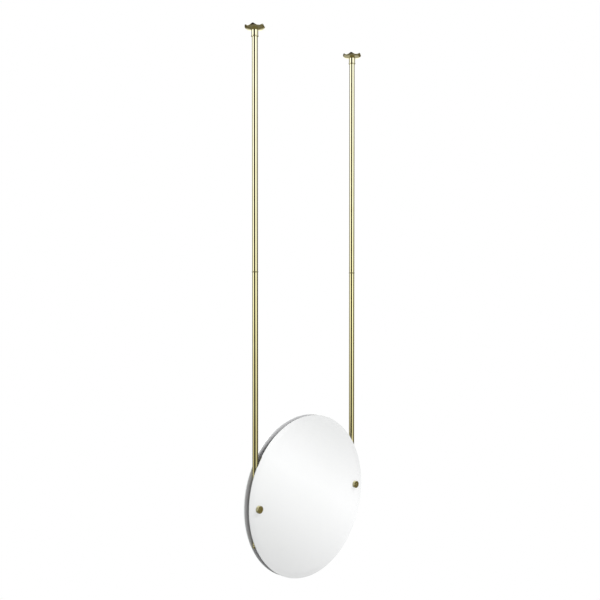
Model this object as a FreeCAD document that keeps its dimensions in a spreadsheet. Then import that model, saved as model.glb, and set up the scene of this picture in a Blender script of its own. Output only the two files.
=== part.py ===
import FreeCAD, Part
import math
import os
import Sketcher

# Ceiling-hung round mirror: two brass rods carry two mirror glasses back to back.
# Origin: on the ceiling, midway between the two rods. +Z is up, the front glass faces -Y.

doc = FreeCAD.newDocument("CeilingHungMirror")
sheet = doc.addObject("Spreadsheet::Sheet", "sizes")

drivingSizes = [
    ("mirrorDiameter", 558.8, "round glass, edge to edge"),
    ("glassThickness", 5.0, "float glass"),
    ("bevelWidth", 19.0, "ground border of the glass, measured across the face"),
    ("edgeLand", 4.0, "upright edge that the bevel leaves"),
    ("glassHoleDiameter", 10.0, "drilled hole for a clamp bolt"),
    ("rodSpacing", 480.0, "axis to axis of the two rods"),
    ("rodDiameter", 19.05, "outside of the brass tube"),
    ("rodWall", 1.2, "wall of the brass tube"),
    ("upperTubeLength", 762.0, "socket in the ceiling flange to the joint ring"),
    ("lowerTubeLength", 886.5, "joint ring to the end cap"),
    ("boltAboveEnd", 114.0, "clamp bolt above the lower tube's end"),
    ("flangeDiameter", 67.0, "ceiling flange over its feet"),
    ("flangeHeight", 36.0, "ceiling to the end of the collar"),
    ("bowlCorner", 9.7, "ceiling to where the flange's wall and underside would meet"),
    ("bowlRound", 9.0, "rounding between that wall and the underside"),
    ("bowlDepth", 13.2, "ceiling to the foot of the underside"),
    ("bowlFootDiameter", 28.0, "underside where it turns in to the collar"),
    ("bowlCove", 2.0, "hollow round between underside and collar"),
    ("footCount", 6, "feet round the flange"),
    ("flangeTurn", 5.6, "degrees from square to the nearest foot"),
    ("scallopDepth", 6.0, "hollow in the wall between two feet, down from the ceiling"),
    ("scallopRadius", 21.0, "radius of that hollow"),
    ("pocketDiameter", 54.0, "hollow in the flange's ceiling side"),
    ("pocketDepth", 8.6, "depth of that hollow"),
    ("bossDiameter", 22.0, "middle of the flange, up to the ceiling"),
    ("fixingDiameter", 8.0, "tapped hole for a hanger bolt in the ceiling"),
    ("fixingDepth", 12.0, "depth of that hole"),
    ("socketDepth", 4.0, "rod inside the collar's end"),
    ("socketClearance", 0.05, "between the rod and that socket, on the radius"),
    ("collarDiameter", 22.0, "neck of the flange"),
    ("beadDiameter", 24.0, "bead at the collar's end"),
    ("beadHeight", 3.6, "height of that bead"),
    ("studDiameter", 10.0, "threaded studs in the rod joints"),
    ("studEngagement", 15.0, "depth that a stud reaches into each side"),
    ("studClearance", 0.05, "between a stud and its tapped hole, on the radius"),
    ("studEndRoom", 1.0, "free depth past a stud's end"),
    ("plugLength", 20.0, "tapped plug soldered into a tube's end"),
    ("solderGap", 0.05, "between a plug and its tube, on the radius"),
    ("ringDiameter", 21.2, "ring at the joint of the two tubes"),
    ("ringHeight", 4.0, "height of that ring"),
    ("ringRound", 0.7, "rounding of the ring's edges"),
    ("capHeight", 17.5, "end cap below the lower tube"),
    ("capPlugLength", 12.0, "part of the end cap inside the tube"),
    ("capSeat", 1.0, "band of the cap that the tube rests on"),
    ("capNeckDiameter", 14.0, "bottom of the two grooves round the cap"),
    ("capNeckHeight", 0.8, "width of a groove"),
    ("capBeadHeight", 5.6, "bead between the grooves"),
    ("capEdge", 2.2, "rounding of the bead's edges and of the dome's upper edge"),
    ("capRound", 6.0, "rounding of the dome's end"),
    ("padThickness", 0.5, "rubber between rod and glass at its thinnest"),
    ("saddleWidth", 14.0, "rubber saddle, across the rod"),
    ("saddleHeight", 26.0, "rubber saddle, along the rod"),
    ("saddleWrap", 3.5, "how far the saddle reaches round the rod"),
    ("saddleClearance", 0.05, "between saddle and rod, on the radius"),
    ("boltDiameter", 6.0, "threaded shank of a clamp bolt"),
    ("boltPassage", 0.35, "round the shank in tube, saddle and bushing, on the radius"),
    ("threadClearance", 0.05, "between the shank and a knob's thread, on the radius"),
    ("boltEngagement", 6.5, "shank inside the front knob"),
    ("boltEndRoom", 0.5, "free depth past the shank's end"),
    ("bushingClearance", 0.1, "round the nylon bushing, on the radius"),
    ("washerThickness", 0.5, "nylon washer under a knob"),
    ("washerDiameter", 22.0, "outside of that washer"),
    ("knobDiameter", 25.4, "round clamp knob"),
    ("knobHeight", 9.5, "knob above its washer"),
    ("knobRound", 1.4, "rounding of the knob's front edge"),
    ("knobRimWidth", 2.9, "raised rim of the knob's face"),
    ("knobDish", 0.6, "depth of the ring sunk into the face"),
    ("knobButtonDiameter", 9.0, "raised middle of the knob's face"),
]
for row, (alias, value, note) in enumerate(drivingSizes, start=1):
    sheet.set("A%d" % row, alias)
    sheet.set("B%d" % row, str(value))
    sheet.set("C%d" % row, note)
    sheet.setAlias("B%d" % row, alias)
doc.recompute()

matchTolerance = 1e-4
fullTurn = 360
quarterTurn = 90
# Where the points of a sketch stand before their formulas move them
startMiddle = 20
startRadius = 10
pieces = []


# Worked-out sizes, as formulas on the sheet's cells
rodRadius = "sizes.rodDiameter / 2"
boreRadius = "(sizes.rodDiameter / 2 - sizes.rodWall)"
plugRadius = "(sizes.rodDiameter / 2 - sizes.rodWall - sizes.solderGap)"
studRadius = "sizes.studDiameter / 2"
tappedRadius = "(sizes.studDiameter / 2 + sizes.studClearance)"
shankRadius = "sizes.boltDiameter / 2"
passageRadius = "(sizes.boltDiameter / 2 + sizes.boltPassage)"
mirrorRadius = "sizes.mirrorDiameter / 2"
knobRadius = "sizes.knobDiameter / 2"

# Heights below the ceiling
collarEnd = "-sizes.flangeHeight"
rodTop = "(sizes.socketDepth - sizes.flangeHeight)"
upperTubeEnd = "(" + rodTop + " - sizes.upperTubeLength)"
ringEnd = "(" + upperTubeEnd + " - sizes.ringHeight)"
lowerTubeEnd = "(" + ringEnd + " - sizes.lowerTubeLength)"
boltHeight = "(" + lowerTubeEnd + " + sizes.boltAboveEnd)"

# Distances from the rods' plane to the faces that are clamped
glassBack = "(sizes.rodDiameter / 2 + sizes.padThickness)"
glassFace = "(" + glassBack + " + sizes.glassThickness)"
knobSeat = "(" + glassFace + " + sizes.washerThickness)"

# A piece's own +Z axis turned to face the front, the back or straight up
facingFront = FreeCAD.Rotation(FreeCAD.Vector(1, 0, 0), quarterTurn)
facingBack = FreeCAD.Rotation(FreeCAD.Vector(1, 0, 0), -quarterTurn)
upright = FreeCAD.Rotation()


def place(piece, label, rotation=upright, x="0", y="0", z="0"):
    piece.Label = label
    piece.Placement = FreeCAD.Placement(FreeCAD.Vector(0, 0, 0), rotation)
    piece.setExpression("Placement.Base.x", x)
    piece.setExpression("Placement.Base.y", y)
    piece.setExpression("Placement.Base.z", z)
    pieces.append(piece)


def newBody(name):
    return doc.addObject("PartDesign::Body", name)


def originFeature(body, role):
    return next(part for part in body.Origin.OriginFeatures if part.Role == role)


def newSketch(body, name, role):
    sketch = body.newObject("Sketcher::SketchObject", name)
    sketch.AttachmentSupport = [(originFeature(body, role), "")]
    sketch.MapMode = "FlatFace"
    return sketch


def tieTo(sketch, kind, geometry, point, start, formula):
    # Ties one coordinate of a sketch point to a formula on the sheet
    index = sketch.addConstraint(Sketcher.Constraint(kind, -1, 1, geometry, point, start))
    sketch.setExpression("Constraints[%d]" % index, formula)


def drawOutline(sketch, corners):
    # A closed chain of lines; each corner is a pair of formulas
    count = len(corners)
    turn = 2 * math.pi / count
    starts = [FreeCAD.Vector(startMiddle + startRadius * math.cos(turn * i),
                             startMiddle + startRadius * math.sin(turn * i), 0)
              for i in range(count)]
    for i in range(count):
        sketch.addGeometry(Part.LineSegment(starts[i], starts[(i + 1) % count]))
    for i in range(count):
        sketch.addConstraint(Sketcher.Constraint("Coincident", i, 2, (i + 1) % count, 1))
    for i, (across, along) in enumerate(corners):
        tieTo(sketch, "DistanceX", i, 1, starts[i].x, across)
        tieTo(sketch, "DistanceY", i, 1, starts[i].y, along)


def drawCircle(sketch, across, along, radius):
    start = FreeCAD.Vector(startMiddle, startMiddle, 0)
    circle = sketch.addGeometry(Part.Circle(start, FreeCAD.Vector(0, 0, 1), startRadius))
    tieTo(sketch, "DistanceX", circle, 3, start.x, across)
    tieTo(sketch, "DistanceY", circle, 3, start.y, along)
    index = sketch.addConstraint(Sketcher.Constraint("Radius", circle, startRadius))
    sketch.setExpression("Constraints[%d]" % index, radius)


def turned(name, corners):
    # A body turned about its own Z axis from an outline of (radius, height) corners
    body = newBody(name)
    sketch = newSketch(body, name + "_outline", "XZ_Plane")
    drawOutline(sketch, corners)
    solid = body.newObject("PartDesign::Revolution", name + "_turned")
    solid.Profile = sketch
    solid.ReferenceAxis = (sketch, ["V_Axis"])
    solid.Angle = fullTurn
    doc.recompute()
    return body


def cutThrough(body, sketch, upwards=False, bothWays=False):
    before = body.Shape.Volume
    pocket = body.newObject("PartDesign::Pocket", sketch.Name + "_cut")
    pocket.Profile = sketch
    pocket.Type = "ThroughAll"
    pocket.Reversed = upwards
    pocket.Midplane = bothWays
    doc.recompute()
    if body.Shape.Volume >= before:
        raise RuntimeError(sketch.Name + " cuts nothing")
    return pocket


def roundEdges(body, name, wanted, radius):
    # Rounds every edge of the body that the test picks
    base = body.Tip
    picked = ["Edge%d" % i for i, edge in enumerate(base.Shape.Edges, start=1) if wanted(edge)]
    if not picked:
        raise RuntimeError(name + " finds no edge")
    rounding = body.newObject("PartDesign::Fillet", name)
    rounding.Base = (base, picked)
    rounding.setExpression("Radius", radius)
    doc.recompute()
    return rounding


def circleAt(radius, height):
    # Test for a full circle of this radius at this height on the body's own axis
    def wanted(edge):
        if not isinstance(edge.Curve, Part.Circle):
            return False
        return (abs(edge.Curve.Radius - radius) < matchTolerance
                and abs(edge.Curve.Center.z - height) < matchTolerance)
    return wanted


def ceilingFlange(name):
    # Bowl that stands on the ceiling with six feet, hollowed from above, with a collar for the rod
    beadTop = "-(sizes.flangeHeight - sizes.beadHeight)"
    socketRadius = "(sizes.rodDiameter / 2 + sizes.socketClearance)"
    tappedEnd = rodTop + " + sizes.studEngagement + sizes.studEndRoom"
    body = turned(name, [
        ("0", "-sizes.fixingDepth"),
        ("sizes.fixingDiameter / 2", "-sizes.fixingDepth"),
        ("sizes.fixingDiameter / 2", "0"),
        ("sizes.bossDiameter / 2", "0"),
        ("sizes.bossDiameter / 2", "-sizes.pocketDepth"),
        ("sizes.pocketDiameter / 2", "-sizes.pocketDepth"),
        ("sizes.pocketDiameter / 2", "0"),
        ("sizes.flangeDiameter / 2", "0"),
        ("sizes.flangeDiameter / 2", "-sizes.bowlCorner"),
        ("sizes.bowlFootDiameter / 2", "-sizes.bowlDepth"),
        ("sizes.collarDiameter / 2", "-sizes.bowlDepth"),
        ("sizes.collarDiameter / 2", beadTop),
        ("sizes.beadDiameter / 2", beadTop),
        ("sizes.beadDiameter / 2", collarEnd),
        (socketRadius, collarEnd),
        (socketRadius, rodTop),
        (tappedRadius, rodTop),
        (tappedRadius, tappedEnd),
        ("0", tappedEnd),
    ])
    bowl = circleAt(sheet.flangeDiameter / 2, -sheet.bowlCorner)
    roundEdges(body, name + "_bowl", bowl, "sizes.bowlRound")
    cove = circleAt(sheet.collarDiameter / 2, -sheet.bowlDepth)
    roundEdges(body, name + "_cove", cove, "sizes.bowlCove")
    beadEnd = circleAt(sheet.beadDiameter / 2, -sheet.flangeHeight)
    roundEdges(body, name + "_bead_end", beadEnd, "(sizes.beadDiameter - sizes.collarDiameter) / 2")
    scallop = newSketch(body, name + "_scallop", "YZ_Plane")
    # Each hollow is cut outwards from midway between boss and wall
    midway = "(sizes.bossDiameter / 2 + sizes.pocketDiameter / 2) / 2"
    scallop.setExpression("AttachmentOffset.Base.z", midway)
    drawCircle(scallop, "0", "sizes.scallopRadius - sizes.scallopDepth", "sizes.scallopRadius")
    pocket = cutThrough(body, scallop, upwards=True)
    feet = body.newObject("PartDesign::PolarPattern", name + "_feet")
    feet.Originals = [pocket]
    feet.Axis = (originFeature(body, "Z_Axis"), [""])
    feet.Angle = fullTurn
    feet.setExpression("Occurrences", "sizes.footCount")
    body.Tip = feet
    doc.recompute()
    return body


def tube(name, length):
    return turned(name, [
        (boreRadius, "0"),
        (rodRadius, "0"),
        (rodRadius, "-" + length),
        (boreRadius, "-" + length),
    ])


def tappedPlug(name):
    return turned(name, [
        (tappedRadius, "0"),
        (plugRadius, "0"),
        (plugRadius, "-sizes.plugLength"),
        (tappedRadius, "-sizes.plugLength"),
    ])


def washerRing(name, inner, outer, height):
    return turned(name, [(inner, "0"), (outer, "0"), (outer, height), (inner, height)])


def jointRing(name):
    body = washerRing(name, tappedRadius, "sizes.ringDiameter / 2", "sizes.ringHeight")
    for end, height in (("bottom", 0), ("top", sheet.ringHeight)):
        edge = circleAt(sheet.ringDiameter / 2, height)
        roundEdges(body, name + "_" + end + "_round", edge, "sizes.ringRound")
    return body


def stud(name, length):
    piece = doc.addObject("Part::Cylinder", name)
    piece.setExpression("Radius", studRadius)
    piece.setExpression("Height", length)
    return piece


def endCap(name):
    # Plug and seat for the tube, then a bead between two grooves and a dome
    neckRadius = "sizes.capNeckDiameter / 2"
    seatEnd = "-sizes.capSeat"
    beadTop = "-(sizes.capSeat + sizes.capNeckHeight)"
    beadEnd = "-(sizes.capSeat + sizes.capNeckHeight + sizes.capBeadHeight)"
    domeTop = "-(sizes.capSeat + 2 * sizes.capNeckHeight + sizes.capBeadHeight)"
    body = turned(name, [
        ("0", "sizes.capPlugLength"),
        (plugRadius, "sizes.capPlugLength"),
        (plugRadius, "0"),
        (rodRadius, "0"),
        (rodRadius, seatEnd),
        (neckRadius, seatEnd),
        (neckRadius, beadTop),
        (rodRadius, beadTop),
        (rodRadius, beadEnd),
        (neckRadius, beadEnd),
        (neckRadius, domeTop),
        (rodRadius, domeTop),
        (rodRadius, "-sizes.capHeight"),
        ("0", "-sizes.capHeight"),
    ])
    bead = sheet.capSeat + sheet.capNeckHeight
    for edge, drop in (("bead_top", bead), ("bead_end", bead + sheet.capBeadHeight),
                       ("dome_top", bead + sheet.capBeadHeight + sheet.capNeckHeight)):
        rim = circleAt(sheet.rodDiameter / 2, -drop)
        roundEdges(body, name + "_" + edge, rim, "sizes.capEdge")
    rim = circleAt(sheet.rodDiameter / 2, -sheet.capHeight)
    roundEdges(body, name + "_round", rim, "sizes.capRound")
    return body


def mirrorGlass(name):
    # Disc with a wide shallow bevel on its outer face and two drilled holes
    body = turned(name, [
        ("0", "0"),
        (mirrorRadius, "0"),
        (mirrorRadius, "sizes.edgeLand"),
        (mirrorRadius + " - sizes.bevelWidth", "sizes.glassThickness"),
        ("0", "sizes.glassThickness"),
    ])
    holes = newSketch(body, name + "_holes", "XY_Plane")
    for side in ("-", ""):
        drawCircle(holes, side + "sizes.rodSpacing / 2", "0", "sizes.glassHoleDiameter / 2")
    cutThrough(body, holes, upwards=True)
    return body


knobFace = [
    (knobRadius, "0"),
    (knobRadius, "sizes.knobHeight"),
    (knobRadius + " - sizes.knobRimWidth", "sizes.knobHeight"),
    (knobRadius + " - sizes.knobRimWidth", "sizes.knobHeight - sizes.knobDish"),
    ("sizes.knobButtonDiameter / 2", "sizes.knobHeight - sizes.knobDish"),
    ("sizes.knobButtonDiameter / 2", "sizes.knobHeight"),
    ("0", "sizes.knobHeight"),
]


def roundKnob(body, name):
    rim = circleAt(sheet.knobDiameter / 2, sheet.knobHeight)
    roundEdges(body, name + "_round", rim, "sizes.knobRound")


def frontKnob(name):
    # Cap nut: a blind tapped hole takes the end of the clamp bolt
    depth = "sizes.boltEngagement + sizes.boltEndRoom"
    thread = shankRadius + " + sizes.threadClearance"
    body = turned(name, knobFace + [("0", depth), (thread, depth), (thread, "0")])
    roundKnob(body, name)
    return body


def rearKnobBolt(name):
    # The same knob in one piece with the shank that runs through to the front
    reach = "-(2 * " + knobSeat + " + sizes.boltEngagement)"
    body = turned(name, knobFace + [("0", reach), (shankRadius, reach), (shankRadius, "0")])
    roundKnob(body, name)
    return body


def rodSaddle(name):
    # Rubber block, flat towards the glass and hollowed to sit on the rod
    block = doc.addObject("Part::Box", name + "_block")
    block.setExpression("Length", "sizes.saddleWidth")
    block.setExpression("Width", "sizes.saddleHeight")
    block.setExpression("Height", "sizes.padThickness + sizes.saddleWrap")
    block.setExpression("Placement.Base.x", "-sizes.saddleWidth / 2")
    block.setExpression("Placement.Base.y", "-sizes.saddleHeight / 2")
    block.setExpression("Placement.Base.z", rodRadius + " - sizes.saddleWrap")
    hollow = doc.addObject("Part::Cylinder", name + "_hollow")
    hollow.setExpression("Radius", rodRadius + " + sizes.saddleClearance")
    hollow.setExpression("Height", "2 * sizes.saddleHeight")
    hollow.Placement.Rotation = facingFront
    hollow.setExpression("Placement.Base.y", "sizes.saddleHeight")
    seat = doc.addObject("Part::Cut", name + "_seat")
    seat.Base = block
    seat.Tool = hollow
    hole = doc.addObject("Part::Cylinder", name + "_hole")
    hole.setExpression("Radius", passageRadius)
    hole.setExpression("Height", "2 * " + glassBack)
    saddle = doc.addObject("Part::Cut", name)
    saddle.Base = seat
    saddle.Tool = hole
    return saddle


# The two mirror glasses, backs towards the rods
place(mirrorGlass("FrontMirror"), "front_mirror", facingFront, y="-" + glassBack, z=boltHeight)
place(mirrorGlass("RearMirror"), "rear_mirror", facingBack, y=glassBack, z=boltHeight)

# Everything that comes once on each side
for side, sign in (("left", "-"), ("right", "")):
    rodX = sign + "sizes.rodSpacing / 2"
    tag = side.capitalize()

    flange = ceilingFlange(tag + "Flange")
    place(flange, side + "_ceiling_flange", x=rodX)
    flange.setExpression("Placement.Rotation.Angle", "sizes.flangeTurn")
    place(stud(tag + "FlangeStud", "2 * sizes.studEngagement"), side + "_flange_stud",
          x=rodX, z=rodTop + " - sizes.studEngagement")

    place(tube(tag + "UpperTube", "sizes.upperTubeLength"), side + "_upper_tube",
          x=rodX, z=rodTop)
    place(tappedPlug(tag + "UpperTopPlug"), side + "_upper_tube_top_plug", x=rodX, z=rodTop)
    place(tappedPlug(tag + "UpperEndPlug"), side + "_upper_tube_end_plug",
          x=rodX, z=upperTubeEnd + " + sizes.plugLength")

    place(jointRing(tag + "JointRing"), side + "_joint_ring", x=rodX, z=ringEnd)
    place(stud(tag + "JointStud", "2 * sizes.studEngagement + sizes.ringHeight"),
          side + "_joint_stud", x=rodX, z=ringEnd + " - sizes.studEngagement")

    lowerTube = tube(tag + "LowerTube", "sizes.lowerTubeLength")
    crossHole = newSketch(lowerTube, tag + "LowerTube_bolt_hole", "XZ_Plane")
    drawCircle(crossHole, "0", "sizes.boltAboveEnd - sizes.lowerTubeLength", passageRadius)
    cutThrough(lowerTube, crossHole, bothWays=True)
    place(lowerTube, side + "_lower_tube", x=rodX, z=ringEnd)
    place(tappedPlug(tag + "LowerTopPlug"), side + "_lower_tube_top_plug", x=rodX, z=ringEnd)
    place(endCap(tag + "EndCap"), side + "_end_cap", x=rodX, z=lowerTubeEnd)

    for face, turnTo, way in (("front", facingFront, "-"), ("rear", facingBack, "")):
        end = tag + face.capitalize()
        place(rodSaddle(end + "Saddle"), side + "_" + face + "_saddle", turnTo, x=rodX, z=boltHeight)
        sleeve = washerRing(end + "Bushing", passageRadius,
                            "sizes.glassHoleDiameter / 2 - sizes.bushingClearance",
                            "sizes.glassThickness")
        place(sleeve, side + "_" + face + "_bushing", turnTo, rodX, way + glassBack, boltHeight)
        washer = washerRing(end + "Washer", passageRadius, "sizes.washerDiameter / 2",
                            "sizes.washerThickness")
        place(washer, side + "_" + face + "_washer", turnTo, rodX, way + glassFace, boltHeight)

    place(frontKnob(tag + "FrontKnob"), side + "_front_knob", facingFront,
          rodX, "-" + knobSeat, boltHeight)
    place(rearKnobBolt(tag + "RearKnob"), side + "_rear_knob_bolt", facingBack,
          rodX, knobSeat, boltHeight)

doc.recompute()

for item in doc.Objects:
    if "Invalid" in item.State or "Error" in item.State:
        raise RuntimeError("failed: " + item.Label)
for piece in pieces:
    if piece.Shape.isNull() or not piece.Shape.isValid():
        raise RuntimeError("bad shape: " + piece.Label)

os.makedirs("parts", exist_ok=True)
for piece in pieces:
    piece.Shape.exportStep("parts/" + piece.Label + ".step")
print(len(pieces), "pieces written")
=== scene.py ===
import bpy
import bmesh
import math
import numpy as np
from mathutils import Matrix, Vector


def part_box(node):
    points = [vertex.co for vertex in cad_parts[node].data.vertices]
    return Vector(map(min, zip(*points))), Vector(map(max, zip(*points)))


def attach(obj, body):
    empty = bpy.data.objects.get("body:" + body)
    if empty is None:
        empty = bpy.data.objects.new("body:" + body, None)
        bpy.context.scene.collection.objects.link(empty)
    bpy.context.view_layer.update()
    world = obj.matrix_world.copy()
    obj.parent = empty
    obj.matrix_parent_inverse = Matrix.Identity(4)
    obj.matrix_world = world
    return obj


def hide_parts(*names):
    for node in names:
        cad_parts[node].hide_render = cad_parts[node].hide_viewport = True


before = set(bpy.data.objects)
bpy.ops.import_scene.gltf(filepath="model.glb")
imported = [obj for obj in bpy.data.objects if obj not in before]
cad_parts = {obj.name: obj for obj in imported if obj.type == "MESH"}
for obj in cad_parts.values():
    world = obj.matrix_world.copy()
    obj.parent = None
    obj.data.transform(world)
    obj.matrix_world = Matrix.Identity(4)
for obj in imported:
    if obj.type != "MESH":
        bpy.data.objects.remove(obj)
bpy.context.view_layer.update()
print("frame:", len(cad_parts), "solids")

mm = 0.001
sides = ("left", "right")
frontFacing = Matrix.Rotation(math.radians(90), 4, "X")  # a piece's own Z axis points to -Y
rearFacing = Matrix.Rotation(math.radians(-90), 4, "X")  # and here to +Y


def boltPoint(side, height=0.0):
    # Where a clamp bolt's axis crosses the rods' plane, read from the rear knob's box
    low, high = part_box(side + "_rear_knob_bolt")
    return Vector(((low.x + high.x) / 2, height, (low.z + high.z) / 2))


def rodPoint(node):
    # Top of an upright round solid on its own axis
    low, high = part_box(node)
    return Vector(((low.x + high.x) / 2, (low.y + high.y) / 2, high.z))


def outerRadius(node):
    low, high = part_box(node)
    return (high.x - low.x) / 2


def tallness(node):
    low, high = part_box(node)
    return high.z - low.z


# Materials

def newMaterial(name):
    material = bpy.data.materials.new(name)
    material.use_nodes = True
    shader = material.node_tree.nodes["Principled BSDF"]
    return material, material.node_tree, shader


def addNode(tree, kind, inputs=None, **settings):
    node = tree.nodes.new(kind)
    for key, value in settings.items():
        setattr(node, key, value)
    for key, value in (inputs or {}).items():
        if isinstance(value, bpy.types.NodeSocket):
            tree.links.new(value, node.inputs[key])
        else:
            node.inputs[key].default_value = value
    return node


def maths(tree, operation, *values):
    return addNode(tree, "ShaderNodeMath", dict(enumerate(values)), operation=operation).outputs[0]


def vectorMaths(tree, operation, *values):
    # A length or a dot product is a number, anything else a vector
    node = addNode(tree, "ShaderNodeVectorMath", dict(enumerate(values)), operation=operation)
    return node.outputs["Value" if operation in ("LENGTH", "DOT_PRODUCT") else "Vector"]


def scaled(tree, vector, factor):
    return addNode(tree, "ShaderNodeVectorMath", {0: vector, "Scale": factor}, operation="SCALE").outputs[0]


def objectPlace(tree, scale=(1, 1, 1), offset=(0, 0, 0)):
    place = addNode(tree, "ShaderNodeTexCoord").outputs["Object"]
    mapped = addNode(tree, "ShaderNodeMapping", {"Vector": place, "Scale": scale, "Location": offset})
    return mapped.outputs["Vector"]


def noise(tree, vector, scale, detail=3.0):
    node = addNode(tree, "ShaderNodeTexNoise", {"Vector": vector, "Scale": scale, "Detail": detail})
    return node.outputs["Fac"]


def spread(tree, value, low, high, toLow, toHigh):
    # Maps a pattern from one range to another
    node = addNode(tree, "ShaderNodeMapRange", {"Value": value, "From Min": low, "From Max": high,
                                                "To Min": toLow, "To Max": toHigh})
    return node.outputs["Result"]


def ramp(tree, value, stops):
    node = addNode(tree, "ShaderNodeValToRGB", {"Fac": value})
    band = node.color_ramp
    band.elements[0].position, band.elements[0].color = stops[0][0], (*stops[0][1], 1)
    band.elements[1].position, band.elements[1].color = stops[-1][0], (*stops[-1][1], 1)
    for position, colour in stops[1:-1]:
        element = band.elements.new(position)
        element.color = (*colour, 1)
    return node.outputs["Color"]


patternSpan = (0.3, 0.7)  # most of a noise pattern lies between these


def twoShades(tree, pattern, shades, span=patternSpan):
    # From the first shade to the second as the pattern rises
    return ramp(tree, pattern, list(zip(span, shades)))


def roughenBy(tree, shader, pattern, rough):
    tree.links.new(spread(tree, pattern, *patternSpan, *rough), shader.inputs["Roughness"])


def bump(tree, shader, height, strength, distance):
    node = addNode(tree, "ShaderNodeBump", {"Height": height, "Strength": strength, "Distance": distance})
    tree.links.new(node.outputs["Normal"], shader.inputs["Normal"])


brassFinish = {
    "shades": ((0.90, 0.845, 0.51), (0.87, 0.795, 0.45)),
    "shadeSpan": (0.35, 0.7),
    "driftScale": 22.0,
    "driftDetail": 4.0,
    "lineDetail": 2.0,
    "lineStrength": 0.15,
    "rough": (0.012, 0.03),
    "tube": {"lines": (900, 900, 6), "depth": 0.004 * mm},  # drawn along the rod
    "cast": {"lines": (240, 240, 240), "depth": 0.01 * mm},  # buffed all ways
}


def polishedBrass(name, kind):
    # Lacquered brass: slow drift of tone, and fine polishing lines that run with the piece
    make = brassFinish
    material, tree, shader = newMaterial(name)
    drift = noise(tree, objectPlace(tree), make["driftScale"], make["driftDetail"])
    tree.links.new(twoShades(tree, drift, make["shades"], make["shadeSpan"]), shader.inputs["Base Color"])
    lines = noise(tree, objectPlace(tree, make[kind]["lines"]), 1.0, make["lineDetail"])
    roughenBy(tree, shader, lines, make["rough"])
    shader.inputs["Metallic"].default_value = 1.0
    bump(tree, shader, lines, make["lineStrength"], make[kind]["depth"])
    return material


turnedFinish = {
    "cloudScale": 90.0,
    "ringScale": 2600.0,
    "ringDetail": 2.0,
    "rough": (0.12, 0.26),
    "bump": (0.25, 0.04 * mm),
}


def turnedBrass():
    # Brass faced on a lathe: fine rings round the clamp bolt, the same on both sides
    make = turnedFinish
    material, tree, shader = newMaterial("turned brass")
    axis = boltPoint("right")
    place = objectPlace(tree)
    split = addNode(tree, "ShaderNodeSeparateXYZ", {"Vector": place}).outputs
    across = maths(tree, "SUBTRACT", maths(tree, "ABSOLUTE", split["X"]), axis.x)
    upward = maths(tree, "SUBTRACT", split["Z"], axis.z)
    flat = addNode(tree, "ShaderNodeCombineXYZ", {"X": across, "Y": upward}).outputs[0]
    radius = vectorMaths(tree, "LENGTH", flat)
    rings = addNode(tree, "ShaderNodeTexNoise",
                    {"W": radius, "Scale": make["ringScale"], "Detail": make["ringDetail"]},
                    noise_dimensions="1D").outputs["Fac"]
    cloud = noise(tree, place, make["cloudScale"])
    colour = twoShades(tree, cloud, brassFinish["shades"], brassFinish["shadeSpan"])
    tree.links.new(colour, shader.inputs["Base Color"])
    roughenBy(tree, shader, rings, make["rough"])
    shader.inputs["Metallic"].default_value = 1.0
    bump(tree, shader, rings, *make["bump"])
    return material


silverFinish = {
    "shades": ((0.93, 0.94, 0.935), (0.95, 0.955, 0.955)),
    "driftScale": 3.0,
    "driftDetail": 2.0,
    "metallic": 0.75,  # the rest is a faint haze that takes soft shadow
}


def silveredFace():
    # Mirror: the silver's tint drifts by a hair over the face
    make = silverFinish
    material, tree, shader = newMaterial("silvered glass")
    drift = noise(tree, objectPlace(tree), make["driftScale"], make["driftDetail"])
    tree.links.new(twoShades(tree, drift, make["shades"]), shader.inputs["Base Color"])
    shader.inputs["Metallic"].default_value = make["metallic"]
    shader.inputs["Roughness"].default_value = 0.0
    return material


edgeFinish = {
    "shades": ((0.90, 0.935, 0.92), (0.96, 0.975, 0.97)),
    "marks": (900, 60, 900),
    "markDetail": 2.0,
    "metallic": 0.9,
}


def groundEdge():
    # Polished edge of the float glass: bright, faintly green, with fine grinding marks
    make = edgeFinish
    material, tree, shader = newMaterial("polished glass edge")
    marks = noise(tree, objectPlace(tree, make["marks"]), 1.0, make["markDetail"])
    tree.links.new(twoShades(tree, marks, make["shades"]), shader.inputs["Base Color"])
    shader.inputs["Metallic"].default_value = make["metallic"]
    shader.inputs["Roughness"].default_value = 0.0
    return material


paintFinish = {
    "shades": ((0.39, 0.39, 0.395), (0.44, 0.44, 0.445)),
    "driftScale": 14.0,
    "driftDetail": 4.0,
    "border": (258 * mm, 279.4 * mm),  # radii between which painted shade runs: paler at the glass's edge, darker inwards where the gap between the glasses shades it
    "borderShadeTone": (0.68, 1.7),
    "lower": (-200 * mm, 0.0),  # heights, from the glass's middle, over which painted shade makes it darker towards the bottom, as light falls from above
    "lowerShadeTone": (0.66, 1.0),
    "peelScale": 700.0,
    "peelDetail": 2.0,
    "rough": (0.45, 0.6),
    "bump": (0.2, 0.2 * mm),
}


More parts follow.
